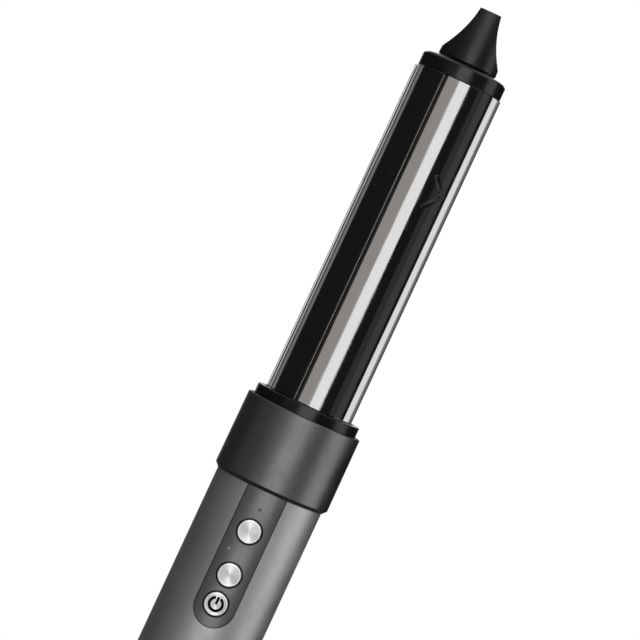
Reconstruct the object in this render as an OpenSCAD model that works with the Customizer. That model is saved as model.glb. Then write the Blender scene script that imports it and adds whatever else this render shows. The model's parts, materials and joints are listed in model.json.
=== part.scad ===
// Hot-air curling styler: a round barrel with five tangential air vanes, on a handle that holds
// a fan, a heater and three buttons. Millimetres. Z = 0 is the foot, +Z runs to the cool tip,
// and -Y is the front, where the buttons are.

/* [Handle] */
// Height from the foot to the lower edge of the lock collar
handle_h = 230; // [230:1:245]
// Diameter of the handle
handle_d = 39; // [38.8:0.1:39.2]
// Height of the filter cage at the foot
filter_h = 45.4; // [44:0.2:45.6]
// Slots round the filter cage
filter_slots = 36; // [24:1:38]
// Width of one filter slot
filter_slot_w = 1.5; // [1:0.1:1.6]

/* [Controls] */
// Width of the control strip
strip_w = 14.65; // [14:0.05:14.8]
// Diameter of a button
button_d = 8; // [7.8:0.05:8]
// How far a button travels
button_travel = 0.8; // [0.5:0.1:0.8]

/* [Lock collar] */
// Height of the lock collar
collar_h = 28.2; // [28:0.1:29]
// Outside diameter at the collar's lower edge
collar_d = 42.1; // [42:0.1:43]
// Angle that one locking lug covers
lug_angle = 38; // [30:1:40]

/* [Barrel] */
// Length of the vanes
vane_h = 121.5; // [90:0.5:150]
// Thickness of a vane's sheet
vane_t = 0.6; // [0.5:0.05:0.7]
// Width of the arrow strokes pressed into the vanes
arrow_stroke = 0.9; // [0.6:0.1:1.2]
// Depth of the arrow strokes
arrow_depth = 0.2; // [0.1:0.05:0.3]

/* [Cool tip] */
// Diameter of the cool tip at its base
tip_d = 21.4; // [20.6:0.1:21.4]
// Height of the cool tip
tip_h = 19.6; // [19:0.1:21]

/* [Fan and heater] */
// Blades on the impeller
blades = 9; // [5:1:11]
// Turns in the heater coil
coil_turns = 18; // [10:1:20]

/* [Hidden] */
$fn = 72;
// What a cut runs past the surface that it opens
over = 1;
handle_r = handle_d / 2;
sleeve_in = 17.9;
chassis_out = 17.6;
chassis_in = 16.4;
housing_out = 14.2;
housing_in = 13.0;
// Levels up the handle
sleeve_z = filter_h + 0.6;
sleeve_top = handle_h + 13;
chassis_z = 50.5;
chassis_top = handle_h - 4.2;
power_z = handle_h - 41.5;
heat_z = handle_h - 30.7;
airflow_z = handle_h - 14.6;
strip_end_z = handle_h - 42.6;
panel_top = handle_h + 10;
heater_z = handle_h - 78;
heater_top = handle_h + 5;
neck_top = handle_h + 21.7;
lug_count = 3;
collar_top = handle_h + collar_h;
ring_top = collar_top + 3.7;
vane_z = ring_top + 0.1;
cap_z = vane_z + vane_h + 0.1;
tip_z = cap_z + 6.4;
// Layers of the control strip, as distances in front of the axis
panel_in = 17;
board_face = 12.9;
board_back = 11.9;
switch_face = 14.5;
// [across, up] place of each indicator
lamps = [[0, handle_h - 6.4], [4.1, handle_h - 6.4], [-3.9, handle_h - 22.5]];
buttons = [power_z, heat_z, airflow_z];
screw_x = 13.2;
screw_z = [120, 144];
// A vane's outer face is an arc whose centre lies off the barrel's axis, towards the lip
vane_count = 5;
vane_pitch = 360 / vane_count;
vane_r = 15.17;
vane_offset = 1.0;
vane_lean = 14;
vane_start = -72.2;
vane_sweep = 71.3;
first_lip = -180.8;
core_r = 13.8;
core_in = 12.8;

module tube(r_out, r_in, z0, z1) {
  difference() {
    translate([0, 0, z0]) cylinder(r = r_out, h = z1 - z0);
    translate([0, 0, z0 - over]) cylinder(r = r_in, h = z1 - z0 + 2 * over);
  }
}

module arc_block(r_in, r_out, z0, z1, middle, span) {
  translate([0, 0, z0]) rotate(middle - span / 2) rotate_extrude(angle = span)
    translate([r_in, 0]) square([r_out - r_in, z1 - z0]);
}

// Lays a drawing out on the front: its X goes across, its Y goes up and its height comes forward
module front(z = 0) {
  translate([0, 0, z]) rotate([90, 0, 0]) children();
}

// Outline of the control strip: straight sides and a half-round lower end
module strip_2d(width, top) {
  translate([0, strip_end_z]) circle(d = width);
  translate([-width / 2, strip_end_z]) square([width, top - strip_end_z]);
}

function unit(v) = v / norm(v);
function along(p, i) = unit(p[min(i + 1, len(p) - 1)] - p[max(i - 1, 0)]);

// A round wire swept through points that lie near one plane of constant X
module wire_run(points, r) {
  sides = 8;
  last = len(points) - 1;
  rings = [for (i = [0 : last]) let (t = along(points, i), u = unit(cross(t, [1, 0, 0])), v = cross(t, u))
    for (k = [0 : sides - 1]) points[i] + r * (cos(360 / sides * k) * u + sin(360 / sides * k) * v)];
  walls = [for (i = [0 : last - 1], k = [0 : sides - 1]) let (n = (k + 1) % sides)
    [sides * i + k, sides * (i + 1) + k, sides * (i + 1) + n, sides * i + n]];
  foot = [for (k = [0 : sides - 1]) k];
  end = [for (k = [sides - 1 : -1 : 0]) sides * last + k];
  polyhedron(points = rings, faces = concat([foot], walls, [end]));
}

module screw(head_r, head_h, shank_r, length) {
  difference() {
    cylinder(r = head_r, h = head_h);
    translate([0, 0, -over]) cylinder(r = head_r * 0.5, h = head_h * 0.5 + over, $fn = 6);
  }
  translate([0, 0, head_h]) cylinder(r = shank_r, h = length);
}

// ---- Handle shell and controls ----

module handle_sleeve() color("#6f6f72") difference() {
  tube(handle_r, sleeve_in, sleeve_z, sleeve_top);
  front() translate([0, 0, 10]) linear_extrude(20) strip_2d(strip_w, sleeve_top + over);
}

module control_panel() color("#5a5a5d") difference() {
  union() {
    intersection() {
      tube(handle_r, panel_in, strip_end_z - 20, panel_top);
      front() translate([0, 0, 10]) linear_extrude(20) strip_2d(strip_w - 0.3, panel_top);
    }
    intersection() {
      tube(sleeve_in - 0.15, panel_in, strip_end_z - 20, panel_top);
      front() translate([0, 0, 10]) linear_extrude(20) strip_2d(strip_w + 2.2, panel_top);
    }
  }
  for (z = buttons) front(z) translate([0, 0, 10]) cylinder(r = button_d / 2 + 0.65, h = 20);
  for (p = lamps) front() translate([p[0], p[1], 10]) cylinder(r = 0.65, h = 20);
}

module button_bezels() color("#0c0c0d") for (z = buttons) front(z)
  tube(button_d / 2 + 0.6, button_d / 2 + 0.12, 16.6, 19.6);

module indicator_lenses() color("#9a9a9a") for (p = lamps) intersection() {
  front() translate([p[0], p[1], 14.1]) cylinder(r = 0.58, h = 8);
  translate([0, 0, chassis_z]) cylinder(r = handle_r, h = handle_h);
}

module control_board() color("#1d5a34") {
  front() translate([-6.2, handle_h - 52, board_back]) cube([12.4, 47, board_face - board_back]);
  for (p = lamps) front() translate([p[0] - 0.8, p[1] - 0.5, board_face]) cube([1.6, 1, 0.8]);
}

module tact_switches() color("#202022") for (z = buttons) front(z) difference() {
  translate([-3, -3, board_face]) cube([6, 6, switch_face - board_face]);
  translate([0, 0, switch_face - 1.1]) cylinder(r = 1.5, h = 2);
}

module button_cap() {
  translate([0, 0, 17.9]) cylinder(d = button_d, h = 1.7);
  translate([0, 0, 19.6]) cylinder(r1 = button_d / 2, r2 = button_d / 2 - 0.3, h = 0.3);
}

module plunger() color("#161617") {
  translate([0, 0, 15.5]) cylinder(r = 2.6, h = 2.4);
  translate([0, 0, 15.5]) cylinder(r = 4.5, h = 0.7);
  translate([0, 0, 13.5 + button_travel]) cylinder(r = 1.25, h = 2.1 - button_travel);
}

module power_button() color("#c8c8ca") front(power_z) difference() {
  button_cap();
  translate([0, 0, 19.65]) difference() {
    cylinder(r = 2.75, h = 1);
    translate([0, 0, -over]) cylinder(r = 1.85, h = 3);
    translate([-0.95, 0, -over]) cube([1.9, 4, 3]);
  }
  translate([-0.45, 0, 19.65]) cube([0.9, 2.5, 1]);
}

module power_plunger() front(power_z) plunger();
module heat_button() color("#c8c8ca") front(heat_z) button_cap();
module heat_plunger() front(heat_z) plunger();
module airflow_button() color("#c8c8ca") front(airflow_z) button_cap();
module airflow_plunger() front(airflow_z) plunger();

// ---- Chassis ----

// One half of the chassis, on the side that side = -1 (front) or 1 (back) names
module chassis_half(side) {
  difference() {
    union() {
      intersection() {
        tube(chassis_out, chassis_in, chassis_z, chassis_top);
        translate([-20, side > 0 ? 0.1 : -20.1, 0]) cube([40, 20, handle_h]);
      }
      intersection() {
        for (x = [-screw_x, screw_x], z = screw_z)
          translate([x, side * 0.1, z]) rotate([-90 * side, 0, 0]) cylinder(r = 2.4, h = 11.2);
        translate([0, 0, chassis_z]) cylinder(r = chassis_out - 0.4, h = handle_h);
      }
    }
    for (x = [-screw_x, screw_x], z = screw_z)
      translate([x, 0, z]) rotate([-90 * side, 0, 0]) {
        translate([0, 0, -over]) cylinder(r = 1, h = side > 0 ? 20 : 9);
        if (side > 0) translate([0, 0, 8]) cylinder(r = 2, h = 10);
      }
  }
}

module chassis_front() color("#2b2b2e") difference() {
  chassis_half(-1);
  translate([-9, -30, handle_h - 54.6]) cube([18, 30, 60]);
}

module chassis_back() color("#2b2b2e") chassis_half(1);

module chassis_screws() color("#8d8d90") for (x = [-screw_x, screw_x], z = screw_z)
  translate([x, 9.6, z]) rotate([90, 0, 0]) screw(1.8, 1.5, 0.95, 15);

module outlet_neck() color("#1a1a1c") difference() {
  union() {
    tube(chassis_out, 14, chassis_top + 0.2, chassis_top + 3.6);
    tube(16, 14, chassis_top + 3.6, neck_top);
    tube(14.2, 11.4, chassis_top + 3.6, chassis_top + 5.2);
    for (i = [0 : lug_count - 1])
      arc_block(15.8, 17.6, handle_h + 17, handle_h + 19.4, 90 + 120 * i, lug_angle);
  }
  // The flange is cut away behind the control strip
  intersection() {
    tube(20, 16.7, chassis_top - over, chassis_top + 10);
    translate([-9, -30, chassis_top - over]) cube([18, 30, 10]);
  }
  tube(15.25, 13, handle_h + 13.3, handle_h + 14.7);
}

module neck_seal() color("#b04a3a") rotate_extrude()
  translate([14.6, handle_h + 14]) circle(r = 0.62);

module outlet_grille() color("#3a3a3c") {
  tube(13.9, 12.7, heater_top + 1.6, heater_top + 3);
  tube(6.4, 5.6, heater_top + 1.6, heater_top + 3);
  for (a = [0 : 30 : 150]) rotate(a) difference() {
    translate([-13, -0.4, heater_top + 1.8]) cube([26, 0.8, 1]);
    translate([0, 0, heater_top]) cylinder(r = 6, h = 5);
  }
}

// ---- Heater ----

module heater_tube() color("#b9a98a") tube(11.3, 10.9, heater_z, heater_top);

module heater_cross() color("#c9bb9c") for (a = [0, 90]) rotate(a) difference() {
  union() {
    translate([-9.2, -0.4, heater_z + 1]) cube([18.4, 0.8, 81]);
    translate([-10.8, -0.4, heater_z + 1]) cube([21.6, 0.8, 3]);
    translate([-10.8, -0.4, heater_z + 79]) cube([21.6, 0.8, 3]);
  }
  // The plates are halved into each other
  translate([-0.45, -over, a == 0 ? heater_z : heater_z + 41.4]) cube([0.9, 2 * over, 42]);
}

module heater_coil() color("#8f8f95") {
  step = 72 / (coil_turns - 1);
  for (i = [0 : coil_turns - 1]) translate([0, 0, heater_z + 6 + step * i]) rotate_extrude()
    translate([9.6, 0]) circle(r = 0.35);
  for (i = [0 : coil_turns - 2]) rotate(45 + 180 * (i % 2))
    translate([9.6, 0, heater_z + 6 + step * i]) cylinder(r = 0.28, h = step);
}

module thermal_fuse() color("#d8d8d2") {
  translate([5, 1.7, heater_z + 45]) cylinder(r = 1.1, h = 8);
  translate([5, 1.7, heater_z + 38]) cylinder(r = 0.3, h = 22);
}

module thermostat() color("#d8d0b8") {
  translate([-8, 0.5, heater_z + 26]) cube([6, 2.6, 9]);
  translate([-5, 3.1, heater_z + 30.5]) rotate([-90, 0, 0]) cylinder(r = 2.4, h = 1);
}

module temperature_sensor() color("#b8862b") {
  translate([1.8, 5, heater_top - 0.4]) sphere(r = 0.9);
  translate([1.8, 5, heater_top - 14]) cylinder(r = 0.25, h = 13.6);
}

// ---- Motor and fan ----

module motor_housing() color("#4a4a4d") {
  tube(housing_out, housing_in, 56, 112);
  translate([0, 0, 56]) rotate_extrude()
    polygon([[housing_in, 0], [housing_in - 1, 0.8], [housing_in, 3.2]]);
  for (i = [0 : 2]) rotate(120 * i) translate([11.85, -0.8, 84]) cube([1.5, 1.6, 16]);
}

module end_bell() color("#8a8a8d") {
  tube(5.6, 4.05, 103.5, 110);
  for (i = [0 : 2]) rotate(60 + 120 * i) translate([5.2, -0.8, 104]) cube([7.7, 1.6, 5]);
}

module stator_core() color("#77787c") {
  tube(11.8, 10.2, 84, 100);
  for (i = [0 : 3]) rotate(90 * i) {
    translate([6.2, -1.4, 84]) cube([4.4, 2.8, 16]);
    intersection() {
      translate([4, -3, 84]) cube([2.8, 6, 16]);
      tube(6.6, 5.2, 84, 100);
    }
  }
}

module stator_windings() color("#b26a32") for (i = [0 : 3]) rotate(90 * i) difference() {
  translate([6.9, -2.9, 82]) cube([2.7, 5.8, 20]);
  translate([6, -1.45, 83.95]) cube([6, 2.9, 16.1]);
}

module motor_bearings() color("#a5a5a8") for (z = [72.5, 105]) difference() {
  tube(4, 1.53, z, z + 4);
  tube(3.3, 2.2, z - over, z + 0.4);
  tube(3.3, 2.2, z + 3.6, z + 5);
}

module motor_mounts() color("#1c1c1c") for (z = [60, 103]) difference() {
  tube(16.3, housing_out + 0.05, z, z + 4);
  for (i = [0 : 3]) rotate(30 + 90 * i) translate([15.2, -1.5, z - over]) cube([5, 3, 6]);
  // The supply wires pass here
  translate([-3.4, 13, z - over]) cube([6.8, 5, 6]);
}

module diffuser() color("#3f4044") {
  tube(7, 4.05, 71.5, 79.5);
  for (i = [0 : 10]) rotate(360 / 11 * i) intersection() {
    translate([9.8, 0, 75.5]) rotate([25, 0, 0]) cube([8, 0.7, 9], center = true);
    tube(12.95, 6.8, 71.6, 79.4);
  }
}

module rotor_shaft() color("#c4c4c8") translate([0, 0, 58]) cylinder(r = 1.5, h = 52.5);

module rotor_magnet() color("#3b3b40") tube(4.4, 1.5, 84, 100);

module impeller() color("#55565a") {
  difference() {
    translate([0, 0, 60]) cylinder(r1 = 3.2, r2 = 6.2, h = 10);
    translate([0, 0, 50]) cylinder(r = 1.5, h = 30);
  }
  for (i = [0 : blades - 1]) rotate(360 / blades * i) intersection() {
    translate([8, 0, 65.4]) rotate([40, 0, 0]) cube([12, 0.7, 13], center = true);
    tube(12.6, 4.5, 61, 69.8);
  }
}

// ---- Boards and wires ----

module driver_board() color("#1d5a34") {
  translate([-9, 6.4, 117]) cube([18, 1.2, 30]);
  translate([-7, 7.6, 128]) cube([6, 1.6, 6]);
  translate([1.5, 7.6, 122]) cube([5, 1.6, 9]);
  translate([-6, 7.6, 138]) cube([12, 1.4, 4]);
}

module driver_capacitor() color("#23405f") translate([0, 0.6, 118]) cylinder(r = 5, h = 20);

module wire_harness() color("#7a2d26") {
  for (x = [-2.2, 2.2]) {
    wire_run([[x * 0.6, 0, 22], [x * 0.6, 0, 30], [x, 13.6, 48.5], [x, 15.2, 57], [x, 15.2, 114],
              [x, 8.6, 119]], 0.8);
    wire_run([[x, -12.4, handle_h - 52.8], [x, -13.6, 152], [x, -5, 146.2], [x, 5.7, 144]], 0.6);
  }
}

// ---- Foot: filter, intake and cord inlet ----

module intake_frame() color("#2b2b2e") difference() {
  union() {
    tube(16.6, 15.2, 3, 50);
    tube(17.8, 15.4, sleeve_z + 0.3, 50);
    tube(15.4, 5.3, 3, 5.4);
    for (x = [-9, 9]) translate([x, 0, 3]) cylinder(r = 2.2, h = 12);
  }
  for (i = [0 : 7]) rotate(45 * i + 22.5) translate([10, -4, 8]) cube([10, 8, 30]);
  for (x = [-9, 9]) translate([x, 0, 2]) cylinder(r = 1.05, h = 10);
}

module base_cap() color("#1c1c1e") difference() {
  cylinder(r = 12.7, h = 3);
  translate([0, 0, -over]) cylinder(r = 6.7, h = over + 1.7);
  translate([0, 0, -over]) cylinder(r = 5.3, h = 6);
  for (x = [-9, 9]) translate([x, 0, -over]) {
    cylinder(r = 1.1, h = 6);
    cylinder(r = 2, h = over + 1.8);
  }
}

module base_screws() color("#8d8d90") for (x = [-9, 9])
  translate([x, 0, 0.3]) screw(1.85, 1.5, 0.98, 8);

module cord_gland() color("#141415") {
  tube(6.5, 3.6, 0.4, 1.6);
  tube(5.2, 3.6, 1.6, 13);
}

module cord_clamp() color("#2f2f31") for (side = [0, 180]) rotate(side) difference() {
  translate([-8.5, 0.3, 15]) cube([17, 4.8, 6]);
  translate([0, 0, 10]) cylinder(r = 3.3, h = 20);
  for (x = [-6, 6]) translate([x, -over, 18]) rotate([-90, 0, 0]) cylinder(r = 1.05, h = 10);
}

module clamp_screws() color("#8d8d90") for (x = [-6, 6])
  translate([x, 6.6, 18]) rotate([90, 0, 0]) screw(1.9, 1.4, 0.98, 10);

module filter_cage() color("#5f5f62") difference() {
  rotate_extrude() polygon([
    [13, 0], [handle_r - 1.6, 0], [handle_r - 0.5, 0.5], [handle_r, 1.6], [handle_r, filter_h],
    [handle_r - 1.2, filter_h], [handle_r - 1.2, 1.6], [13, 1.6]
  ]);
  for (i = [0 : filter_slots - 1]) rotate(360 / filter_slots * i)
    translate([16, -filter_slot_w / 2, 7]) cube([6, filter_slot_w, filter_h - 14]);
}

module filter_screen() color("#8b8b8e") tube(18.2, 17.7, 4, filter_h - 4);

// ---- Barrel ----

module barrel_core() color("#131314") difference() {
  tube(core_r, core_in, ring_top - 6.6, cap_z - 0.1);
  for (i = [0 : vane_count - 1]) rotate(first_lip + vane_pitch * i - 6)
    translate([10, -0.7, vane_z + 4]) cube([6, 1.4, vane_h - 8]);
}

// The arrow that points to the lip, as deep as arrow_depth all over the vane's curve
module arrow_cut() {
  across = 2.95;
  up = 5.7;
  half = arrow_stroke * 0.7;
  rotate(90 - 18) intersection() {
    tube(vane_r + 2, vane_r - arrow_depth, 0, vane_h);
    front(vane_h * 0.686) translate([0, 0, 10]) linear_extrude(10) polygon([
      [across + half, 0], [half - across, up], [-half - across, up],
      [across - half, 0], [-half - across, -up], [half - across, -up]
    ]);
  }
}

module vane(i) color("#cfcfd2") rotate(first_lip + vane_pitch * i) {
  centre = vane_offset * [cos(vane_lean), sin(vane_lean)];
  translate([centre[0], centre[1], vane_z]) difference() {
    rotate(vane_start) rotate_extrude(angle = vane_sweep)
      translate([vane_r - vane_t, 0]) square([vane_t, vane_h]);
    arrow_cut();
  }
  // The folded foot, by which the vane stands on the core, stops short of both ends of the sheet
  rotate(-67.2) translate([core_r + 0.05, -0.3, vane_z + 0.4]) cube([0.95, 0.6, vane_h - 0.8]);
}

module vane_1() vane(0);
module vane_2() vane(1);
module vane_3() vane(2);
module vane_4() vane(3);
module vane_5() vane(4);

module barrel_base_ring() color("#161617") {
  tube(19.05, core_r + 0.15, ring_top - 6.6, ring_top);
  tube(19.6, 18.5, ring_top - 6.6, ring_top - 5.6);
}

module barrel_adapter() color("#232325") {
  tube(13.85, 12.6, handle_h + 10, ring_top - 6.6);
  tube(18.9, 13.6, ring_top - 9.3, ring_top - 6.6);
}

module barrel_cap() color("#161617") {
  edge = [for (a = [0 : 15 : 90]) [12.4 + 2.7 * cos(a), cap_z + 4.9 + sin(a)]];
  rotate_extrude() polygon(concat(
    [[core_in - 0.15, cap_z], [15.4, cap_z], [15.4, cap_z + 4.6]], edge,
    [[1.7, cap_z + 5.9], [1.7, cap_z + 2.4], [11.4, cap_z + 2.4], [11.4, cap_z - 5],
     [core_in - 0.15, cap_z - 5]]
  ));
}

// The tip is round below and drawn in to a blade by a hollow down each side
module cool_tip() color("#161617") difference() {
  union() {
    translate([0, 0, tip_z - 0.5]) cylinder(r = 7, h = 1);
    translate([0, 0, tip_z]) cylinder(r1 = tip_d / 2 - 0.5, r2 = tip_d / 2, h = 0.5);
    translate([0, 0, tip_z + 0.5]) cylinder(r1 = tip_d / 2, r2 = tip_d / 2 - 1.1, h = tip_h - 0.5);
  }
  for (side = [-1, 1]) translate([side * 39.95, 20, tip_z + 24.25]) rotate([90, 0, 0])
    cylinder(r = 36.4, h = 40);
  translate([0, 0, tip_z - 2]) cylinder(r = 1.55, h = 14);
}

module tip_screw() color("#8d8d90") translate([0, 0, cap_z + 0.3]) screw(2.8, 2, 1.45, 14);

module flow_cone() color("#2c2c2f") {
  translate([0, 0, cap_z - 17]) cylinder(r1 = 1, r2 = 11.2, h = 13);
  translate([0, 0, cap_z - 4]) cylinder(r = 11.2, h = 3.6);
}

// ---- Lock collar ----

module lock_collar() color("#55555a") rotate_extrude() polygon([
  [19.8, handle_h], [collar_d / 2 - 1, handle_h], [collar_d / 2, handle_h + 1.2],
  [collar_d / 2 - 0.15, collar_top - 0.6], [collar_d / 2 - 0.5, collar_top],
  [19.25, collar_top], [19.25, collar_top - 1.5], [19.85, collar_top - 1.5],
  [19.85, collar_top - 3.3], [19.25, collar_top - 3.3], [19.25, handle_h + 20.2],
  [19.8, handle_h + 20.2]
]);

module collar_lugs() color("#8d8d90") {
  tube(19.8, 17.95, handle_h + 14, handle_h + 20);
  for (i = [0 : lug_count - 1])
    arc_block(16.3, 18.2, handle_h + 14, handle_h + 16.4, 150 + 120 * i, lug_angle);
}

handle_sleeve();
control_panel();
button_bezels();
indicator_lenses();
control_board();
tact_switches();
chassis_front();
chassis_back();
chassis_screws();
outlet_neck();
outlet_grille();
neck_seal();
heater_tube();
heater_cross();
heater_coil();
thermal_fuse();
thermostat();
temperature_sensor();
motor_housing();
end_bell();
stator_core();
stator_windings();
motor_bearings();
motor_mounts();
diffuser();
driver_board();
driver_capacitor();
wire_harness();
intake_frame();
base_cap();
base_screws();
cord_gland();
cord_clamp();
clamp_screws();
rotor_shaft();
rotor_magnet();
impeller();
filter_cage();
filter_screen();
power_button();
power_plunger();
airflow_button();
airflow_plunger();
heat_button();
heat_plunger();
barrel_core();
vane_1();
vane_2();
vane_3();
vane_4();
vane_5();
barrel_base_ring();
barrel_adapter();
barrel_cap();
cool_tip();
tip_screw();
flow_cone();
lock_collar();
collar_lugs();
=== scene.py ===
# %% [markdown]
# # A hot-air curling styler
# The real thing is a round barrel of five polished vanes on a slim handle with three spun-metal buttons.
# The imported model already holds every part at its true place, so this lesson adds only what the eye
# judges: rounded edges, the arrows pressed into the vanes, the slots of the filter, a black gasket behind
# the strip's gap that puts painted shade in the gap line, the sign on the power button, and the finishes.

# %% Load the frame
import json
import math

import bmesh
import bpy
from mathutils import Matrix, Vector


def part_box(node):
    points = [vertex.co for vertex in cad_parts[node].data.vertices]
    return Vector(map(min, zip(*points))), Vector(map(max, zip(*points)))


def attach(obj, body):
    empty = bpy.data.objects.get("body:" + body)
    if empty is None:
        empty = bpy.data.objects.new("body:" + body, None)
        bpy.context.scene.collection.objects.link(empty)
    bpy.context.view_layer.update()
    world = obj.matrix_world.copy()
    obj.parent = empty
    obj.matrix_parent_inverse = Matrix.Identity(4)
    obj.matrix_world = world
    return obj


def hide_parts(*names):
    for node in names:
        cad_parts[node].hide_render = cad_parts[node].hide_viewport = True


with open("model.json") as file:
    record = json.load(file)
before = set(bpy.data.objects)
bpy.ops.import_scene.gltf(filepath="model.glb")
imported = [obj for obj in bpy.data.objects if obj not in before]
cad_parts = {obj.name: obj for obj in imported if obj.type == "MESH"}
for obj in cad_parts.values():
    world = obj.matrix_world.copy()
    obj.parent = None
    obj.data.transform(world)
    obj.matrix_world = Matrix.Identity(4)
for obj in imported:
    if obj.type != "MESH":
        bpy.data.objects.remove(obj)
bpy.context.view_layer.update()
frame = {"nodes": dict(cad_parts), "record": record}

# %% [markdown]
# Sizes come from the frame wherever it has them. A node's box gives a radius or a level, so each piece
# lands exactly on the part that it stands for. Everything is in metres, and MM turns millimetres into them.

# %% Read the sizes
MM = 0.001


def level(node, end):
    """Height of a node's foot (end 0) or top (end 1)."""
    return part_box(node)[end].z


def radius(node):
    """Radius of a round node that stands on the axis."""
    low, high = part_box(node)
    return (high.x - low.x) / 2


HANDLE_R = radius("handle_sleeve")
SLEEVE_WALL = 1.6 * MM
STRIP_W = 14.65 * MM
STRIP_GAP = 0.26 * MM
STRIP_END = level("power_button", 0) + 2.9 * MM
STRIP_TOP = level("control_panel", 1) / MM
BUTTONS = {name: sum(level(name + "_button", end) for end in (0, 1)) / 2
           for name in ("power", "heat", "airflow")}
VANE_LOW, VANE_TOP = level("vane_1", 0), level("vane_1", 1)
print("handle radius %.2f mm" % (HANDLE_R / MM))
print("buttons at", {name: round(height / MM, 1) for name, height in BUTTONS.items()})

# %% [markdown]
# ## The camera and the light
# The styler stands upright here, as on a shelf, so the camera is rolled to make it lean in the picture.
# A long lens keeps the barrel's sides parallel, as they look on a small object seen from about a metre.

# %% Place the camera
bpy.ops.object.select_all(action="DESELECT")
camera_data = bpy.data.cameras.new("camera")
camera = bpy.data.objects.new("camera", camera_data)
bpy.context.scene.collection.objects.link(camera)
camera_data.angle = math.radians(11.25)
camera_data.clip_start, camera_data.clip_end = 0.05, 50
CAMERA_AT, CAMERA_AIM = Vector((-0.0089, -1.115, 0.311)), Vector((-0.0089, 0, 0.290))
CAMERA_ROLL, CAMERA_YAW = 24.9, 1.2
look = (CAMERA_AIM - CAMERA_AT).to_track_quat("-Z", "Y").to_matrix().to_4x4()
camera.matrix_world = (Matrix.Rotation(math.radians(CAMERA_YAW), 4, "Z") @ Matrix.Translation(CAMERA_AT)
                       @ look @ Matrix.Rotation(math.radians(CAMERA_ROLL), 4, "Z"))
bpy.context.scene.camera = camera
bpy.context.scene.view_settings.view_transform = "Standard"
print("lens %.1f mm, distance %.3f m" % (camera_data.lens, (CAMERA_AIM - CAMERA_AT).length))

# %% [markdown]
# Polished metal shows only what stands round it, so tall cards stand round the barrel as in a product studio:
# a white one beside the camera, a warm grey one to its left, a narrow white one to the right. Other parts
# would show those cards too, as smears. Light linking gives each kind of surface its own set: thirteen for
# the vanes, seven for paint, four for black parts, and for the buttons two that cross and one behind.
# The world is plain white to the eye and to matt surfaces, and dim to a reflection.

# %% Build the world
def build_world(glow):
    world = bpy.data.worlds.new("studio")
    bpy.context.scene.world = world
    world.use_nodes = True
    world.cycles.sampling_method = "NONE"
    nodes, links = world.node_tree.nodes, world.node_tree.links
    nodes.clear()
    # Overhead, a pale ceiling shows in reflections
    place = nodes.new("ShaderNodeTexCoord")
    split = nodes.new("ShaderNodeSeparateXYZ")
    links.new(place.outputs["Generated"], split.inputs[0])
    rise = nodes.new("ShaderNodeMapRange")
    rise.interpolation_type = "SMOOTHSTEP"
    rise.inputs["From Min"].default_value = 0.45
    rise.inputs["From Max"].default_value = 0.80
    rise.inputs["To Min"].default_value = glow
    rise.inputs["To Max"].default_value = 0.7
    links.new(split.outputs["Z"], rise.inputs["Value"])
    path = nodes.new("ShaderNodeLightPath")
    choose = nodes.new("ShaderNodeMix")
    links.new(path.outputs["Is Glossy Ray"], choose.inputs["Factor"])
    choose.inputs["A"].default_value = 1.0
    links.new(rise.outputs[0], choose.inputs["B"])
    background = nodes.new("ShaderNodeBackground")
    links.new(choose.outputs[0], background.inputs["Strength"])
    background.inputs["Color"].default_value = (1, 1, 1, 1)
    output = nodes.new("ShaderNodeOutputWorld")
    links.new(background.outputs[0], output.inputs["Surface"])
    return world


build_world(0.012)

# %% Stand the cards and softboxes
CARD_FAR, CARD_TALL, CARD_MIDDLE = 2.0, 3.6, 0.29
polished, painted, blacks, spun = [bpy.data.collections.new(kind)
                                   for kind in ("polished", "painted", "blacks", "spun")]


def stand_card(lit, name, start, end, brightness, shade, lean=0):
    """A tall card that spans two bearings round the styler, in degrees from the camera, + to the right."""
    middle, half = math.radians((start + end) / 2 + CAMERA_YAW), math.radians((end - start) / 2)
    light = bpy.data.lights.new(name, "AREA")
    light.shape, light.size, light.size_y = "RECTANGLE", 2 * CARD_FAR * math.tan(half), CARD_TALL
    # An area light's power over its area and pi is its brightness
    light.energy = brightness * math.pi * light.size * light.size_y
    light.color = shade
    card = bpy.data.objects.new(name, light)
    bpy.context.scene.collection.objects.link(card)
    away = Vector((math.sin(middle), -math.cos(middle), 0))
    card.matrix_world = Matrix.Translation(away * CARD_FAR + Vector((0, 0, CARD_MIDDLE))) @ \
        Matrix.Rotation(math.radians(lean), 4, away) @ away.to_track_quat("Z", "Y").to_matrix().to_4x4()
    card.visible_camera = False
    card.light_linking.receiver_collection = lit
    return card


WHITE, WARM = (1, 1, 1), (1, 0.95, 0.90)
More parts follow.
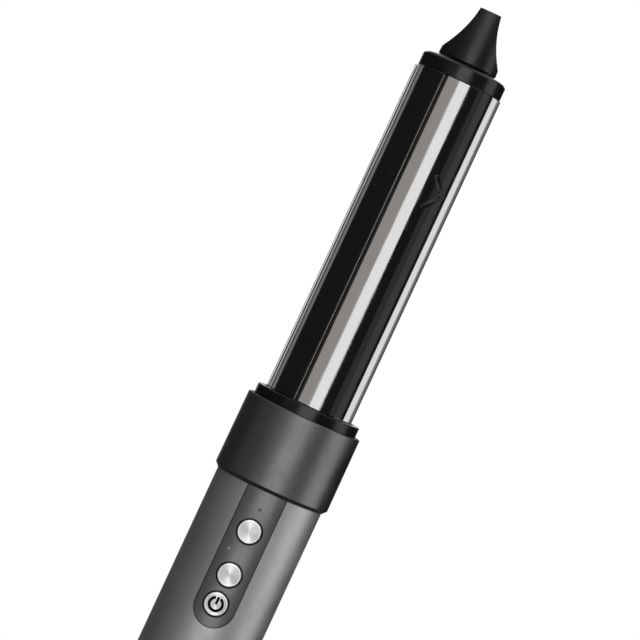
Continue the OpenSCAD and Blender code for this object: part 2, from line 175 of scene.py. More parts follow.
# (name, from, to, brightness, colour, lean) of what each kind of surface sees
CARDS = {
    polished: [("back_dark", -180, -158, 0.10, WHITE), ("back_pale", -158, -146, 0.50, WHITE),
               ("back_shade", -146, -135, 0.05, WHITE), ("back_grey", -135, -120, 0.22, WHITE),
               ("lip_shade", -44, -39, 0.07, WHITE), ("warm_grey", -39, -7, 0.39, WARM),
               ("front_white", -7, 22, 1.18, WHITE), ("front_shade", 50, 68, 0.028, WHITE),
               ("right_shade", 68, 90, 0.055, WHITE), ("right_white", 104, 131, 1.08, WHITE),
               ("right_grey", 131, 137, 0.40, WHITE), ("far_grey", 137, 150, 0.18, WHITE),
               ("far_shade", 150, 165, 0.08, WHITE)],
    painted: [("left_far_fill", -165, -90, 0.055, WHITE), ("left_fill", -90, -45, 0.21, WHITE),
              ("left_near_fill", -45, -16, 0.50, WHITE), ("front_softbox", -16, 22, 1.95, WHITE),
              ("right_near_fill", 22, 64, 0.31, WHITE), ("right_softbox", 64, 104, 1.6, WHITE),
              ("back_softbox", 172, 200, 0.5, WHITE)],
    blacks: [("black_left_fill", -50, -14, 0.14, WHITE), ("black_front", -14, 20, 1.6, WHITE),
             ("black_right", 70, 102, 1.0, WHITE), ("black_back", 168, 200, 1.0, WHITE)],
    spun: [("spun_long", -7, 8, 7.8, WHITE, CAMERA_ROLL),
           ("spun_cross", -3, 3, 3.6, WHITE, 90 + CAMERA_ROLL), ("spun_back", 168, 200, 1.0, WHITE)],
}
for lit, cards in CARDS.items():
    for card in cards:
        stand_card(lit, *card)

# %% Lay the floor
bpy.ops.mesh.primitive_circle_add(vertices=96, radius=0.9, fill_type="NGON", location=(0, 0, 0))
floor = bpy.context.object
floor.name = "floor"
floor_paint = bpy.data.materials.new("floor_paint")
floor_paint.use_nodes = True
floor_shader = floor_paint.node_tree.nodes["Principled BSDF"]
floor_shader.inputs["Roughness"].default_value = 0.9
floor_shader.inputs["Specular IOR Level"].default_value = 0.0
# A pale floor to the eye and a dark one to a reflection, as black cloth under the set gives
floor_ray = floor_paint.node_tree.nodes.new("ShaderNodeLightPath")
floor_tone = floor_paint.node_tree.nodes.new("ShaderNodeMix")
floor_tone.data_type = "RGBA"
floor_tone.inputs["A"].default_value = (0.92, 0.92, 0.92, 1)
floor_tone.inputs["B"].default_value = (0.06, 0.06, 0.06, 1)
floor_paint.node_tree.links.new(floor_ray.outputs["Is Glossy Ray"], floor_tone.inputs["Factor"])
floor_paint.node_tree.links.new(floor_tone.outputs["Result"], floor_shader.inputs["Base Color"])
floor.data.materials.append(floor_paint)
print("floor across %.1f m" % floor.dimensions.x)

# %% [markdown]
# ## Shop-floor helpers
# Most of the styler is turned on a lathe. In Blender the same shape comes from one circle that is extruded
# from station to station up the outline, as a potter raises a wall. An operator works on everything that
# is selected, so each helper starts by letting go of all of it.

# %% Selecting and finishing
AROUND = 144


def let_go():
    """Nothing is selected and no piece is in edit mode."""
    if bpy.context.object and bpy.context.object.mode != "OBJECT":
        bpy.ops.object.mode_set(mode="OBJECT")
    bpy.ops.object.select_all(action="DESELECT")


def hold(piece):
    """Only this piece is selected and active."""
    let_go()
    piece.select_set(True)
    bpy.context.view_layer.objects.active = piece


def pick(test, kind="VERT"):
    """In edit mode, selects the vertices or faces whose centre passes the test."""
    bpy.ops.mesh.select_mode(type=kind)
    bpy.ops.mesh.select_all(action="DESELECT")
    mesh = bmesh.from_edit_mesh(bpy.context.object.data)
    found = [e for e in (mesh.verts if kind == "VERT" else mesh.faces)
             if test(e.co if kind == "VERT" else e.calc_center_median())]
    for element in found:
        element.select = True
    mesh.select_flush(True)
    bmesh.update_edit_mesh(bpy.context.object.data)
    return len(found)


def apply_modifier(piece, kind, **settings):
    """Adds one modifier, sets it and applies it."""
    hold(piece)
    modifier = piece.modifiers.new(kind.lower(), kind)
    for name, value in settings.items():
        setattr(modifier, name, value)
    bpy.ops.object.modifier_apply(modifier=modifier.name)


def round_edges(piece, width, segments=3, angle=32):
    """Every edge sharper than the angle gets a small round, as a moulder or a grinder leaves it."""
    apply_modifier(piece, "BEVEL", width=width, segments=segments, limit_method="ANGLE",
                   angle_limit=math.radians(angle), use_clamp_overlap=True, harden_normals=False)


def carve(piece, tool, operation="DIFFERENCE"):
    """Cuts the tool out of the piece, or keeps only what they share, and throws the tool away."""
    apply_modifier(piece, "BOOLEAN", object=tool, operation=operation, solver="EXACT")
    bpy.data.objects.remove(tool)


def smooth(piece, angle=32):
    """Shades curves smooth. Broad faces keep their own direction, so that a small round doesn't tilt them."""
    hold(piece)
    bpy.ops.object.shade_smooth_by_angle(angle=math.radians(angle))
    apply_modifier(piece, "WEIGHTED_NORMAL", keep_sharp=True, weight=50)


PIECES = []


def fit(piece, name, body, slot, *nodes):
    """Names a finished piece, sets its origin to the frame's, and hangs it on its body."""
    hold(piece)
    bpy.ops.object.transform_apply(location=True, rotation=True, scale=True)
    piece.name = name
    piece.data.name = name
    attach(piece, body)
    if nodes:
        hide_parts(*nodes)
    PIECES.append((piece, slot))
    print("%-18s %6d faces on %s" % (name, len(piece.data.polygons), body))
    return piece


# %% The lathe
def turn(outline, around=AROUND):
    """A ring turned about +Z. The outline's (radius, height) points, in mm, run round its wall."""
    let_go()
    (first_r, first_z) = outline[0]
    bpy.ops.mesh.primitive_circle_add(vertices=around, radius=first_r * MM, location=(0, 0, first_z * MM))
    bpy.ops.object.mode_set(mode="EDIT")
    bpy.ops.mesh.select_mode(type="VERT")
    bpy.ops.mesh.select_all(action="SELECT")
    for (r, z), (next_r, next_z) in zip(outline, outline[1:]):
        bpy.ops.mesh.extrude_region_move(TRANSFORM_OT_translate={"value": (0, 0, (next_z - z) * MM)})
        bpy.ops.transform.resize(value=(next_r / r, next_r / r, 1))
    bpy.ops.mesh.select_mode(type="EDGE")
    bpy.ops.mesh.select_all(action="DESELECT")
    bpy.ops.mesh.select_non_manifold()
    bpy.ops.mesh.bridge_edge_loops()
    bpy.ops.mesh.select_all(action="SELECT")
    bpy.ops.mesh.normals_make_consistent(inside=False)
    bpy.ops.object.mode_set(mode="OBJECT")
    bpy.ops.object.transform_apply(location=True, rotation=True, scale=True)
    return bpy.context.object


def turn_solid(outline, around=AROUND):
    """A solid of revolution. The outline runs from its first ring to its last, and both ends are closed."""
    let_go()
    (first_r, first_z) = outline[0]
    bpy.ops.mesh.primitive_circle_add(vertices=around, radius=first_r * MM, location=(0, 0, first_z * MM),
                                      fill_type="NGON")
    bpy.ops.object.mode_set(mode="EDIT")
    bpy.ops.mesh.select_mode(type="VERT")
    bpy.ops.mesh.select_all(action="SELECT")
    for (r, z), (next_r, next_z) in zip(outline, outline[1:]):
        bpy.ops.mesh.extrude_region_move(TRANSFORM_OT_translate={"value": (0, 0, (next_z - z) * MM)})
        bpy.ops.transform.resize(value=(next_r / r, next_r / r, 1))
    bpy.ops.mesh.select_all(action="SELECT")
    bpy.ops.mesh.normals_make_consistent(inside=False)
    bpy.ops.object.mode_set(mode="OBJECT")
    bpy.ops.object.transform_apply(location=True, rotation=True, scale=True)
    return bpy.context.object


def face_front(piece, height):
    """Turns a piece made along +Z to face the buttons' side, at a height."""
    hold(piece)
    piece.rotation_euler = (math.radians(90), 0, 0)
    piece.location = (0, 0, height)
    bpy.ops.object.transform_apply(location=True, rotation=True, scale=True)
    return piece


print("lathe ready, %d sides" % AROUND)

# %% [markdown]
# ## The handle sleeve and its control strip
# The sleeve is one tube with a slot down its front, round at the lower end. The control strip fills the slot
# with a hair's gap all round, which is what draws the thin dark line about it. A milling tool of the slot's
# shape cuts the sleeve, and a slightly narrower one keeps the strip's own piece from the same tube. A black
# gasket, cut the same way from a thinner tube, lies behind the gap as painted shade that makes the gap line
# read dark, and it also stands for a seal that keeps damp out.

# %% Cut the slot
def slot_tool(width):
    """A bar with a round lower end that comes forward through the front wall."""
    let_go()
    sides = 64
    half_step = math.pi / sides
    bpy.ops.mesh.primitive_cylinder_add(vertices=sides, radius=width / 2 / math.cos(half_step), depth=0.02,
                                        location=(0, -0.020, STRIP_END), rotation=(math.radians(90), 0, 0))
    tool = bpy.context.object
    bpy.ops.object.transform_apply(location=True, rotation=True, scale=True)
    bpy.ops.object.mode_set(mode="EDIT")
    bpy.ops.mesh.select_all(action="SELECT")
    bpy.ops.transform.rotate(value=half_step, orient_axis="Y", center_override=(0, 0, STRIP_END))
    pick(lambda at: at.z > STRIP_END)
    bpy.ops.transform.translate(value=(0, 0, 0.08))
    bpy.ops.object.mode_set(mode="OBJECT")
    return tool


SLEEVE_LOW, SLEEVE_TOP = level("handle_sleeve", 0) / MM, level("handle_sleeve", 1) / MM
OUT, IN = HANDLE_R / MM, (HANDLE_R - SLEEVE_WALL) / MM
sleeve = turn([(OUT, SLEEVE_LOW), (OUT, SLEEVE_TOP), (IN, SLEEVE_TOP), (IN, SLEEVE_LOW)], 192)
carve(sleeve, slot_tool(STRIP_W))
round_edges(sleeve, 0.25 * MM)
smooth(sleeve)
fit(sleeve, "handle_shell", "handle", "handle_paint", "handle_sleeve")

# %% Make the control strip
STRIP_LOW, STRIP_IN = 160, 17.0
BEZEL_HOLE_R, LAMP_HOLE_R, DRILL_FROM, DRILL_TO = 4.65, 0.62, 12, 25
# (across, up) of the three lamps, in mm
LAMPS = [(0, 223.6), (4.1, 223.6), (-3.9, 207.5)]
strip = turn([(OUT, STRIP_LOW), (OUT, STRIP_TOP), (STRIP_IN, STRIP_TOP), (STRIP_IN, STRIP_LOW)], 192)
carve(strip, slot_tool(STRIP_W - 2 * STRIP_GAP), "INTERSECT")
for height in BUTTONS.values():
    carve(strip, face_front(turn_solid([(BEZEL_HOLE_R, DRILL_FROM), (BEZEL_HOLE_R, DRILL_TO)], 72), height))
for across, height in LAMPS:
    drill = face_front(turn_solid([(LAMP_HOLE_R, DRILL_FROM), (LAMP_HOLE_R, DRILL_TO)], 24), height * MM)
    drill.location.x = across * MM
    carve(strip, drill)
round_edges(strip, 0.12 * MM)
smooth(strip)
fit(strip, "control_strip", "handle", "strip_paint", "control_panel")

# %% Close the gap from behind
# A black sheet behind the strip's gap: painted shade that darkens the gap line, also standing for a seal
SHADE_GASKET_IN, SHADE_GASKET_OUT, SHADE_GASKET_LOW, SHADE_GASKET_LAP = 17.64, 17.86, 170, 0.8 * MM
shade_gasket = turn([(SHADE_GASKET_OUT, SHADE_GASKET_LOW), (SHADE_GASKET_OUT, STRIP_TOP), (SHADE_GASKET_IN, STRIP_TOP),
               (SHADE_GASKET_IN, SHADE_GASKET_LOW)], 192)
carve(shade_gasket, slot_tool(STRIP_W + 2 * SHADE_GASKET_LAP), "INTERSECT")
carve(shade_gasket, slot_tool(STRIP_W - 1.9 * STRIP_GAP))
round_edges(shade_gasket, 0.04 * MM, 2)
smooth(shade_gasket)
fit(shade_gasket, "strip_shade_gasket", "handle", "mount_rubber")

# %% [markdown]
# ## The buttons
# Each button is a small turned cap: a bright rim, a shallow step, and a face that the lathe tool spun in
# circles. It sits in a glossy black bezel. The power button carries a black inlaid ring and bar, which
# are the everyday sign for power.

# %% Turn the caps and bezels
# (radius, height) outlines in mm
CAP = [(3.95, 17.9), (3.98, 18.2), (3.98, 19.52), (3.90, 19.72), (3.72, 19.86), (3.55, 19.90), (3.42, 19.88),
       (3.32, 19.80), (3.20, 19.78), (2.0, 19.79), (1.0, 19.80), (0.2, 19.80)]
for name, height in BUTTONS.items():
    cap = face_front(turn_solid(CAP, 96), height)
    smooth(cap, 40)
    fit(cap, name + "_cap", name + "_key", "button_metal", name + "_button")

BEZEL = [(4.60, 16.6), (4.60, 19.35), (4.52, 19.55), (4.38, 19.62), (4.24, 19.56), (4.14, 19.40),
         (4.12, 16.6)]
bezels = [face_front(turn(BEZEL, 96), height) for height in BUTTONS.values()]
hold(bezels[0])
for other in bezels[1:]:
    other.select_set(True)
bpy.ops.object.join()
smooth(bezels[0], 40)
fit(bezels[0], "button_rings", "handle", "black_gloss", "button_bezels")

# %% Inlay the power sign
SIGN_OUT, SIGN_IN, SIGN_BAR, SIGN_GAP = 2.78, 1.80, 0.92, 22
SIGN_LOW, SIGN_TOP, BAR_LONG = 19.74, 19.86, 2.6
sign = turn([(SIGN_OUT, SIGN_LOW), (SIGN_OUT, SIGN_TOP), (SIGN_IN, SIGN_TOP), (SIGN_IN, SIGN_LOW)], 90)
hold(sign)
bpy.ops.object.mode_set(mode="EDIT")
pick(lambda at: abs(math.degrees(math.atan2(at.x, at.y))) < SIGN_GAP, "FACE")
bpy.ops.mesh.delete(type="FACE")
bpy.ops.mesh.select_mode(type="EDGE")
bpy.ops.mesh.select_all(action="DESELECT")
bpy.ops.mesh.select_non_manifold()
bpy.ops.mesh.edge_face_add()
bpy.ops.object.mode_set(mode="OBJECT")
bpy.ops.mesh.primitive_cube_add(size=1, location=(0, BAR_LONG / 2 * MM, (SIGN_LOW + SIGN_TOP) / 2 * MM),
                                scale=(SIGN_BAR * MM, BAR_LONG * MM, (SIGN_TOP - SIGN_LOW) * MM))
bar = bpy.context.object
bpy.ops.object.transform_apply(location=True, rotation=True, scale=True)
hold(sign)
bar.select_set(True)
bpy.ops.object.join()
round_edges(sign, 0.05 * MM, 2)
face_front(sign, BUTTONS["power"])
smooth(sign)
fit(sign, "power_sign", "power_key", "black_gloss")

# %% [markdown]
# ## The lock collar
# The collar is the widest ring. It flares a little towards the handle, has a chamfer at its lower edge and a
# crisp round at the top, where the light catches it.

# %% Turn the collar
def arc(centre_r, centre_z, size, start, end, steps=5):
    """Points of a round, from one angle to another, on an outline in mm."""
    angles = [math.radians(start + (end - start) * i / steps) for i in range(steps + 1)]
    return [(centre_r + size * math.cos(a), centre_z + size * math.sin(a)) for a in angles]


COLLAR_LOW, COLLAR_TOP = level("lock_collar", 0) / MM, level("lock_collar", 1) / MM
COLLAR_R = radius("lock_collar") / MM
collar = turn(
    [(COLLAR_R - 1.25, COLLAR_LOW), (COLLAR_R - 0.15, COLLAR_LOW + 1.1), (COLLAR_R, COLLAR_LOW + 1.4)]
    + arc(COLLAR_R - 0.55, COLLAR_TOP - 0.4, 0.4, 0, 90, 4)
    + [(19.45, COLLAR_TOP), (19.25, COLLAR_TOP - 0.25), (19.25, COLLAR_TOP - 8), (19.8, COLLAR_TOP - 8),
       (19.8, COLLAR_LOW + 0.2), (19.95, COLLAR_LOW)], 192)
smooth(collar)
fit(collar, "collar_shell", "collar", "collar_paint", "lock_collar")

# %% [markdown]
# ## The black rings and the cool tip
# The barrel stands in a black ring, and a black cap with a soft dome closes it. The cool tip is round below
# and hollowed on two sides to a blade, so that fingers can hold it: two big cylinders cut the hollows.

# %% Turn the base ring and the cap
RING_LOW, RING_TOP = level("barrel_base_ring", 0) / MM, level("barrel_base_ring", 1) / MM
ring = turn([(19.05, RING_LOW)] + arc(18.75, RING_TOP - 0.3, 0.3, 0, 90, 4)
            + [(16.9, RING_TOP), (16.7, RING_TOP - 0.35), (14.2, RING_TOP - 0.35), (13.95, RING_TOP - 0.6),
               (13.95, RING_LOW)], 192)
smooth(ring)
fit(ring, "barrel_foot_ring", "barrel", "black_gloss", "barrel_base_ring")

CAP_LOW = VANE_TOP / MM + 0.1
cap_dome = [(12.4 + 2.7 * math.cos(math.radians(a)), CAP_LOW + 4.9 + math.sin(math.radians(a)))
            for a in range(15, 91, 15)]
cap = turn([(15.15, CAP_LOW), (15.4, CAP_LOW + 0.25)] + arc(15.05, CAP_LOW + 4.6, 0.35, 0, 60, 3) + cap_dome
           + [(7.6, CAP_LOW + 5.9), (7.4, CAP_LOW + 5.6), (1.7, CAP_LOW + 5.6), (1.7, CAP_LOW + 2.4),
              (11.4, CAP_LOW + 2.4), (11.4, CAP_LOW - 5), (12.65, CAP_LOW - 5), (12.65, CAP_LOW)], 192)
smooth(cap)
fit(cap, "barrel_end_cap", "barrel", "black_gloss", "barrel_cap")

# %% Shape the cool tip
TIP_LOW, TIP_TOP = level("cool_tip", 0) / MM + 0.5, level("cool_tip", 1) / MM
HOLLOW_R, HOLLOW_X, HOLLOW_Z = 36.4, 39.95, TIP_LOW + 24.25
tip = turn_solid([(7.0, TIP_LOW - 0.5), (7.0, TIP_LOW), (10.2, TIP_LOW), (10.7, TIP_LOW + 0.5),
                  (9.62, TIP_TOP)], 192)
for side in (-1, 1):
    let_go()
    bpy.ops.mesh.primitive_cylinder_add(vertices=512, radius=HOLLOW_R * MM, depth=0.05,
                                        location=(side * HOLLOW_X * MM, 0, HOLLOW_Z * MM),
                                        rotation=(math.radians(90), 0, 0))
    carve(tip, bpy.context.object)
round_edges(tip, 0.45 * MM, 4, 24)
smooth(tip, 24)
fit(tip, "cool_tip_blade", "barrel", "tip_plastic", "cool_tip")

# %% [markdown]
# ## The vanes
# A vane is a sheet rolled to an arc that drifts outward, so its lip stands proud of the next vane's start and
# air can leave through the slot between them. Spinning a thin upright face about an off-axis centre gives
# exactly that. The face is first cut into fine bands at the arrow's height, so that the arrow can be pressed
# in as a soft groove, which is how a punch leaves it, and which shows as a change of reflection.

# %% Roll one vane
VANE_R, VANE_T, VANE_OFFSET, VANE_LEAN, VANE_SWEEP, VANE_START = 15.17, 0.6, 1.0, 14, 71.3, -72.2
FIRST_LIP, PITCH = -180.8, 72
ROLL_STEPS = 112
FOOT_BEARING, FOOT_SPAN, FOOT_DEEP, FOOT_SHORT = -67.2, 2.4, 0.72, 0.4
ARROW_ACROSS, ARROW_UP, ARROW_HALF, ARROW_DEEP, ARROW_BEARING = 2.75, 5.5, 1.05, 0.20, -20
CENTRE = Vector((VANE_OFFSET * MM * math.cos(math.radians(VANE_LEAN)),
                 VANE_OFFSET * MM * math.sin(math.radians(VANE_LEAN)), 0))
ARROW_AT = VANE_LOW + (VANE_TOP - VANE_LOW) * 0.686


def roll_vane():
    """Spins one vane, turns it to its start, and draws a short foot inward at that end."""
    let_go()
    middle, tall = (VANE_LOW + VANE_TOP) / 2, VANE_TOP - VANE_LOW
    bpy.ops.mesh.primitive_plane_add(size=1, rotation=(math.radians(90), 0, 0),
                                     location=(CENTRE.x + (VANE_R - VANE_T / 2) * MM, CENTRE.y, middle))
    vane = bpy.context.object
    vane.scale = (VANE_T * MM, tall, 1)
    bpy.ops.object.transform_apply(location=True, rotation=True, scale=True)
    bpy.ops.object.mode_set(mode="EDIT")
    zone = (ARROW_UP + 0.8) * MM
    bands = [ARROW_AT - zone + 2 * zone * i / 72 for i in range(73)]
    for height in [VANE_LOW + FOOT_SHORT * MM, *bands, VANE_TOP - FOOT_SHORT * MM]:
        bpy.ops.mesh.select_all(action="SELECT")
        bpy.ops.mesh.bisect(plane_co=(0, 0, height), plane_no=(0, 0, 1))
    bpy.ops.mesh.select_all(action="SELECT")
    bpy.ops.mesh.spin(steps=ROLL_STEPS, angle=math.radians(VANE_SWEEP), center=CENTRE, axis=(0, 0, 1))
    bpy.ops.mesh.select_all(action="SELECT")
    bpy.ops.mesh.remove_doubles(threshold=1e-7)
    bpy.ops.mesh.normals_make_consistent(inside=False)
    mesh = bmesh.from_edit_mesh(vane.data)
    # The spin may run either way round, so the arc is turned until it starts where it should
    least = min(math.degrees(math.atan2(v.co.y - CENTRE.y, v.co.x - CENTRE.x)) for v in mesh.verts)
    turned = Matrix.Rotation(math.radians(VANE_START - least), 3, "Z")
    for vert in mesh.verts:
        vert.co = CENTRE + turned @ (vert.co - CENTRE)
    bmesh.update_edit_mesh(vane.data)

    def by_start(at):
        out = at - CENTRE
        bearing = math.degrees(math.atan2(out.y, out.x)) - VANE_START
        inner = math.hypot(out.x, out.y) < (VANE_R - VANE_T * 0.9) * MM
        return 0 < bearing < FOOT_SPAN and inner and abs(at.z - middle) < tall / 2 - FOOT_SHORT * MM
    pick(by_start, "FACE")
    foot = math.radians(FOOT_BEARING)
    inward = (-math.cos(foot) * FOOT_DEEP * MM, -math.sin(foot) * FOOT_DEEP * MM, 0)
    bpy.ops.mesh.extrude_region_move(TRANSFORM_OT_translate={"value": inward})
    bpy.ops.object.mode_set(mode="OBJECT")
    return vane


def to_stroke(across, up):
    """Distance in mm from a point on the unrolled vane to the arrow's centre line."""
    tip, tail = Vector((ARROW_ACROSS, 0)), Vector((-ARROW_ACROSS, ARROW_UP))
    point, along = Vector((across, abs(up))), tail - tip
    share = min(max((point - tip).dot(along) / along.length_squared, 0), 1)
    return (point - tip - along * share).length


def press_arrow(vane):
    """Presses a soft groove into the outer face only."""
    hold(vane)
    bpy.ops.object.mode_set(mode="EDIT")
    mesh = bmesh.from_edit_mesh(vane.data)
    moved = 0
    for vert in mesh.verts:
        out = vert.co - CENTRE
        out.z = 0
        if out.length > (VANE_R - VANE_T / 2) * MM:
            bearing = math.degrees(math.atan2(out.y, out.x)) - ARROW_BEARING
            away = to_stroke(math.radians(bearing) * VANE_R, (vert.co.z - ARROW_AT) / MM)
            if away < ARROW_HALF:
                push = ARROW_DEEP * MM * (0.5 + 0.5 * math.cos(math.pi * away / ARROW_HALF))
                vert.co -= out.normalized() * push
                moved += 1
    bmesh.update_edit_mesh(vane.data)
    bpy.ops.object.mode_set(mode="OBJECT")
    return moved


first = roll_vane()
print("pressed", press_arrow(first), "points of the arrow")
round_edges(first, 0.06 * MM, 2, 40)
print("rolled a vane of", len(first.data.polygons), "faces")

# %% Copy it round the barrel
vanes = [first]
for index in range(1, 5):
    hold(first)
    bpy.ops.object.duplicate()
    vanes.append(bpy.context.object)
for index, vane in enumerate(vanes):
    vane.rotation_euler = (0, 0, math.radians(FIRST_LIP + PITCH * index))
    smooth(vane, 35)
    fit(vane, "polished_vane_%d" % (index + 1), "barrel", "polished_vane", "vane_%d" % (index + 1))

# %% [markdown]
# ## The filter cage
# The cage is a thin sleeve with 36 upright slots for the air. Its skin is one ring of faces: those that lie
# over a slot are deleted, and Solidify gives what is left its thickness.

# %% Pierce the cage
FILTER_TOP = level("filter_cage", 1) / MM
SLOTS, SIDES = 36, 4
# Each slot stops this far (mm) from the cage's ends, and fills this part of its share of the turn
SLOT_MARGIN, SLOT_FROM, SLOT_TO = 7, 0.24, 0.76


def filter_skin():
    """The cage as one skin, open at both ends, with its slots missing."""
    let_go()
    skin = ([(13.0, 0.02), (OUT - 1.6, 0.02)] + arc(OUT - 1.6, 1.62, 1.6, -75, 0, 5)
            + [(OUT, SLOT_MARGIN), (OUT, FILTER_TOP - SLOT_MARGIN), (OUT, FILTER_TOP)])
    bpy.ops.mesh.primitive_circle_add(vertices=SLOTS * SIDES, radius=skin[0][0] * MM,
                                      location=(0, 0, skin[0][1] * MM))
    bpy.ops.object.mode_set(mode="EDIT")
    bpy.ops.mesh.select_mode(type="VERT")
    bpy.ops.mesh.select_all(action="SELECT")
    for (r, z), (next_r, next_z) in zip(skin, skin[1:]):
        bpy.ops.mesh.extrude_region_move(TRANSFORM_OT_translate={"value": (0, 0, (next_z - z) * MM)})
        bpy.ops.transform.resize(value=(next_r / r, next_r / r, 1))

    def on_slot(at):
        turn_share = (math.degrees(math.atan2(at.y, at.x)) % 360) / 360 * SLOTS % 1
        between_ends = SLOT_MARGIN * MM < at.z < (FILTER_TOP - SLOT_MARGIN) * MM
        return between_ends and SLOT_FROM < turn_share < SLOT_TO
    pick(on_slot, "FACE")
    bpy.ops.mesh.delete(type="FACE")
    bpy.ops.mesh.select_all(action="SELECT")
    bpy.ops.mesh.normals_make_consistent(inside=False)
    bpy.ops.object.mode_set(mode="OBJECT")
    return bpy.context.object


cage = filter_skin()
apply_modifier(cage, "SOLIDIFY", thickness=1.2 * MM, offset=-1)
round_edges(cage, 0.18 * MM, 2, 50)
smooth(cage, 40)
fit(cage, "filter_sleeve", "filter", "cage_metal", "filter_cage")

# %% [markdown]
# ## Finishes
# Every finish starts from the same few effects: a fine grain, marks that drift in roughness, worn edges, and
# drawn lines. Each is a node group, built once, so that a finish only says how much of each it has. They read
# Object coordinates, because every piece keeps its place in its mesh and the pattern then stays on it.

# %% Build the shared effects
def new_group(name, inputs, outputs):
    """A shader group with named sockets: (name, type, value) for each input, (name, type) for each output."""
    group = bpy.data.node_groups.new(name, "ShaderNodeTree")
    for label, kind, value in inputs:
        socket = group.interface.new_socket(label, in_out="INPUT", socket_type="NodeSocket" + kind)
        if kind != "Vector":
            socket.default_value = value
    for label, kind in outputs:
        group.interface.new_socket(label, in_out="OUTPUT", socket_type="NodeSocket" + kind)
    return group, group.nodes.new("NodeGroupInput"), group.nodes.new("NodeGroupOutput")


def add(tree, kind, settings=None, **inputs):
    """Adds a node. Settings are its own values; an input is a plain value or another node's socket."""
    node = tree.nodes.new("ShaderNode" + kind)
    for name, value in (settings or {}).items():
        setattr(node, name, value)
    for name, value in inputs.items():
        socket = node.inputs[int(name[1:])] if name[0] == "i" and name[1:].isdigit() else \
            node.inputs[name.replace("_", " ")]
        if isinstance(value, bpy.types.NodeSocket):
            tree.links.new(value, socket)
        else:
            socket.default_value = value
    return node


def make_grain():
    group, entry, out = new_group(
        "fine_grain", [("Vector", "Vector", None), ("Scale", "Float", 1500), ("Spread", "Float", 0.05)],
        [("Height", "Float"), ("Shade", "Float")])
    specks = add(group, "TexNoise", Vector=entry.outputs["Vector"], Scale=entry.outputs["Scale"], Detail=3.0)
    low = add(group, "Math", {"operation": "SUBTRACT"}, i0=1.0, i1=entry.outputs["Spread"])
    high = add(group, "Math", {"operation": "ADD"}, i0=1.0, i1=entry.outputs["Spread"])
    shade = add(group, "MapRange", Value=specks.outputs[0], From_Min=0.3, From_Max=0.7,
                To_Min=low.outputs[0], To_Max=high.outputs[0])
    group.links.new(specks.outputs[0], out.inputs["Height"])
    group.links.new(shade.outputs[0], out.inputs["Shade"])
    return group


def make_marks():
    group, entry, out = new_group(
        "handling_marks", [("Vector", "Vector", None), ("Scale", "Float", 60), ("Low", "Float", 0.3),
                           ("High", "Float", 0.4)], [("Roughness", "Float")])
    broad = add(group, "TexNoise", Vector=entry.outputs["Vector"], Scale=entry.outputs["Scale"], Detail=4.0,
                Distortion=0.8)
    value = add(group, "MapRange", {"interpolation_type": "SMOOTHSTEP"}, Value=broad.outputs[0],
                From_Min=0.35, From_Max=0.65, To_Min=entry.outputs["Low"], To_Max=entry.outputs["High"])
    group.links.new(value.outputs[0], out.inputs["Roughness"])
    return group


def make_wear():
    group, entry, out = new_group(
        "edge_wear", [("Vector", "Vector", None), ("Radius", "Float", 0.0003), ("Amount", "Float", 0.5)],
        [("Mask", "Float")])
    soft = add(group, "Bevel", {"samples": 4}, Radius=entry.outputs["Radius"])
    flat = add(group, "NewGeometry")
    meet = add(group, "VectorMath", {"operation": "DOT_PRODUCT"}, i0=soft.outputs[0],
               i1=flat.outputs["Normal"])
    edge = add(group, "MapRange", Value=meet.outputs["Value"], From_Min=0.995, From_Max=0.90)
    patch = add(group, "TexNoise", Vector=entry.outputs["Vector"], Scale=420.0, Detail=4.0)
    worn = add(group, "MapRange", Value=patch.outputs[0], From_Min=0.45, From_Max=0.62)
    both = add(group, "Math", {"operation": "MULTIPLY"}, i0=edge.outputs[0], i1=worn.outputs[0])
    share = add(group, "Math", {"operation": "MULTIPLY"}, i0=both.outputs[0], i1=entry.outputs["Amount"])
    group.links.new(share.outputs[0], out.inputs["Mask"])
    return group


def make_lines():
    group, entry, out = new_group(
        "drawn_lines", [("Vector", "Vector", None), ("Spread", "Float", 0.03)],
        [("Height", "Float"), ("Shade", "Float")])
    lines = add(group, "TexNoise", Vector=entry.outputs["Vector"], Scale=1.0, Detail=5.0, Roughness=0.6)
    low = add(group, "Math", {"operation": "SUBTRACT"}, i0=1.0, i1=entry.outputs["Spread"])
    high = add(group, "Math", {"operation": "ADD"}, i0=1.0, i1=entry.outputs["Spread"])
    shade = add(group, "MapRange", Value=lines.outputs[0], From_Min=0.3, From_Max=0.7,
                To_Min=low.outputs[0], To_Max=high.outputs[0])
    group.links.new(lines.outputs[0], out.inputs["Height"])
    group.links.new(shade.outputs[0], out.inputs["Shade"])
    return group


GRAIN, MARKS, WEAR, LINES = make_grain(), make_marks(), make_wear(), make_lines()
print("effects", [g.name for g in (GRAIN, MARKS, WEAR, LINES)])


# %% [markdown]
# One function mixes an ordinary finish. The colour is shaded by the grain and lightened where edges wear,
# the roughness drifts with handling, and the grain raises a very small bump. Metals have lines drawn along
# the part instead of round specks. What is the same all over is set on the shader's own socket.

# %% Mix an ordinary finish
def start_material(name):
    material = bpy.data.materials.new(name)
    material.use_nodes = True
    tree = material.node_tree
    shader = tree.nodes["Principled BSDF"]
    place = add(tree, "TexCoord").outputs["Object"]
    return material, tree, shader, place


def group_node(tree, group, **inputs):
    node = tree.nodes.new("ShaderNodeGroup")
    node.node_tree = group
    for name, value in inputs.items():
        if isinstance(value, bpy.types.NodeSocket):
            tree.links.new(value, node.inputs[name])
        else:
            node.inputs[name].default_value = value
    return node


def tint(tree, colour, *shades):
    """A colour multiplied by one shade after another."""
    result = None
    for shade in shades:
        mixed = add(tree, "VectorMath", {"operation": "SCALE"}, i0=result or colour[:3], Scale=shade)
        result = mixed.outputs[0]
    return result


